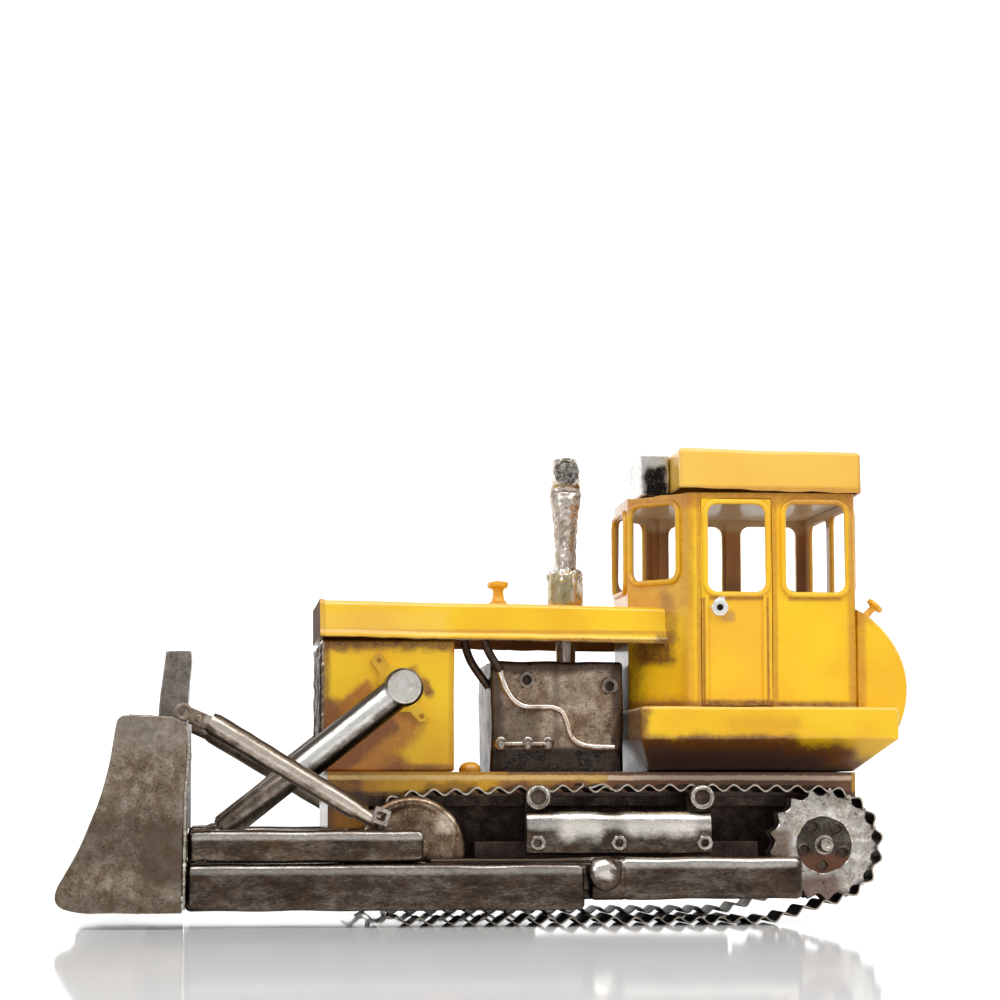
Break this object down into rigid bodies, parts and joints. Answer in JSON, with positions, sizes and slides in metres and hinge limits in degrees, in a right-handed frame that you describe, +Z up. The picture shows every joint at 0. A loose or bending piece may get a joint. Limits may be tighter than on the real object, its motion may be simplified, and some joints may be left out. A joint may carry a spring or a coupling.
{
  "type": "toy bulldozer",
  "caption": "Hand-built sheet-metal toy crawler dozer with a lifting front blade, opening cab doors, turning track wheels and fixed track bands.",
  "frame": {"origin": "on the ground, midway along the length and width", "axes": "-X forwards to the blade, +X to the rear tank, -Y to the machine's left, +Z up"},
  "size_m": [0.4189, 0.236, 0.2364],
  "materials": {
    "yellow_paint": "glossy yellow, shaded brown at the seams",
    "rusty_paint": "satin yellow fading to rust brown",
    "dark_steel": "burnished, dark brown-grey",
    "bright_steel": "brushed, bright with darkened recesses",
    "bronzed_steel": "burnished, bronze toned",
    "black_steel": "blackened, rough"
  },
  "bodies": {
    "chassis": {"radiator_shell": "yellow_paint", "hood": "yellow_paint", "filler_cap": "yellow_paint", "deck_cap": "yellow_paint", "cab_base": "yellow_paint", "cab_shell": "yellow_paint", "cab_roof": "yellow_paint", "rear_tank": "yellow_paint", "tank_cap": "yellow_paint", "main_frame": "rusty_paint", "fuel_pipe": "dark_steel", "control_levers": "dark_steel", "left_track_band": "dark_steel", "right_track_band": "dark_steel", "left_side_beam": "dark_steel", "right_side_beam": "dark_steel", "left_pivot_pin": "dark_steel", "right_pivot_pin": "dark_steel", "left_roller_guard": "dark_steel", "right_roller_guard": "dark_steel", "oil_pipe": "bright_steel", "exhaust_collar": "bright_steel", "exhaust_pipe": "bright_steel", "air_filter_box": "bright_steel", "left_trunnion": "bright_steel", "right_trunnion": "bright_steel", "engine_block": "bronzed_steel", "exhaust_stub": "bronzed_steel", "belly_pan": "black_steel", "left_track_frame": "black_steel", "right_track_frame": "black_steel", "radiator_grille": "black_steel", "seat": "black_steel"},
    "blade": {"mouldboard": "dark_steel", "blade_back": "dark_steel", "spill_plate": "dark_steel", "left_end_plate": "dark_steel", "right_end_plate": "dark_steel", "left_push_beam": "dark_steel", "right_push_beam": "dark_steel", "left_upper_arm": "dark_steel", "right_upper_arm": "dark_steel", "left_brace": "bright_steel", "right_brace": "bright_steel"},
    "left_cylinder": {"left_lift_barrel": "bright_steel"},
    "left_rod": {"left_lift_rod": "dark_steel"},
    "left_cab_door": {"left_door": "yellow_paint", "left_door_nut": "bright_steel"},
    "left_drive_wheel": {"left_sprocket": "bright_steel"},
    "left_front_wheel": {"left_idler": "bronzed_steel"},
    "left_front_carrier": {"left_carrier_roller_front": "bright_steel"},
    "left_rear_carrier": {"left_carrier_roller_rear": "bright_steel"},
    "right_cylinder": {"right_lift_barrel": "bright_steel"},
    "right_rod": {"right_lift_rod": "dark_steel"},
    "right_cab_door": {"right_door": "yellow_paint", "right_door_nut": "bright_steel"},
    "right_drive_wheel": {"right_sprocket": "bright_steel"},
    "right_front_wheel": {"right_idler": "bronzed_steel"},
    "right_front_carrier": {"right_carrier_roller_front": "bright_steel"},
    "right_rear_carrier": {"right_carrier_roller_rear": "bright_steel"}
  },
  "joints": [
    {"name": "blade_lift", "type": "hinge", "parent": "chassis", "child": "blade", "pos_m": [0.0498, 0, 0.025], "axis": [0, 1, 0], "range_deg": [0, 14]},
    {"name": "left_cylinder_swing", "type": "hinge", "parent": "chassis", "child": "left_cylinder", "pos_m": [-0.0444, -0.07, 0.1147], "axis": [0, 1, 0], "range_deg": [0, 19.5]},
    {"name": "left_rod_slide", "type": "slide", "parent": "left_cylinder", "child": "left_rod", "axis": [-0.782, 0, -0.6232], "range_m": [-0.0315, 0]},
    {"name": "left_door_hinge", "type": "hinge", "parent": "chassis", "child": "left_cab_door", "pos_m": [0.1412, -0.0608, 0.107], "axis": [0, 0, 1], "range_deg": [0, 100]},
    {"name": "left_sprocket_spin", "type": "hinge", "parent": "chassis", "child": "left_drive_wheel", "pos_m": [0.1625, -0.07, 0.0382], "axis": [0, 1, 0], "continuous": true},
    {"name": "left_idler_spin", "type": "hinge", "parent": "chassis", "child": "left_front_wheel", "pos_m": [-0.0408, -0.07, 0.036], "axis": [0, 1, 0], "continuous": true},
    {"name": "left_front_carrier_spin", "type": "hinge", "parent": "chassis", "child": "left_front_carrier", "pos_m": [0.0202, -0.07, 0.0615], "axis": [0, 1, 0], "continuous": true},
    {"name": "left_rear_carrier_spin", "type": "hinge", "parent": "chassis", "child": "left_rear_carrier", "pos_m": [0.1006, -0.07, 0.0615], "axis": [0, 1, 0], "continuous": true},
    {"name": "right_cylinder_swing", "type": "hinge", "parent": "chassis", "child": "right_cylinder", "pos_m": [-0.0444, 0.07, 0.1147], "axis": [0, 1, 0], "range_deg": [0, 19.5]},
    {"name": "right_rod_slide", "type": "slide", "parent": "right_cylinder", "child": "right_rod", "axis": [-0.782, 0, -0.6232], "range_m": [-0.0315, 0]},
    {"name": "right_door_hinge", "type": "hinge", "parent": "chassis", "child": "right_cab_door", "pos_m": [0.1412, 0.0608, 0.107], "axis": [0, 0, -1], "range_deg": [0, 100]},
    {"name": "right_sprocket_spin", "type": "hinge", "parent": "chassis", "child": "right_drive_wheel", "pos_m": [0.1625, 0.07, 0.0382], "axis": [0, 1, 0], "continuous": true},
    {"name": "right_idler_spin", "type": "hinge", "parent": "chassis", "child": "right_front_wheel", "pos_m": [-0.0408, 0.07, 0.036], "axis": [0, 1, 0], "continuous": true},
    {"name": "right_front_carrier_spin", "type": "hinge", "parent": "chassis", "child": "right_front_carrier", "pos_m": [0.0202, 0.07, 0.0615], "axis": [0, 1, 0], "continuous": true},
    {"name": "right_rear_carrier_spin", "type": "hinge", "parent": "chassis", "child": "right_rear_carrier", "pos_m": [0.1006, 0.07, 0.0615], "axis": [0, 1, 0], "continuous": true}
  ],
  "couplings": [
    {"joint": "left_cylinder_swing", "follows": "blade_lift", "ratio": 1.3405},
    {"joint": "left_rod_slide", "follows": "blade_lift", "m_per_rad": -0.12569},
    {"joint": "left_idler_spin", "follows": "left_sprocket_spin", "ratio": 1.0736},
    {"joint": "right_cylinder_swing", "follows": "blade_lift", "ratio": 1.3405},
    {"joint": "right_rod_slide", "follows": "blade_lift", "m_per_rad": -0.12569},
    {"joint": "right_idler_spin", "follows": "right_sprocket_spin", "ratio": 1.0736}
  ]
}
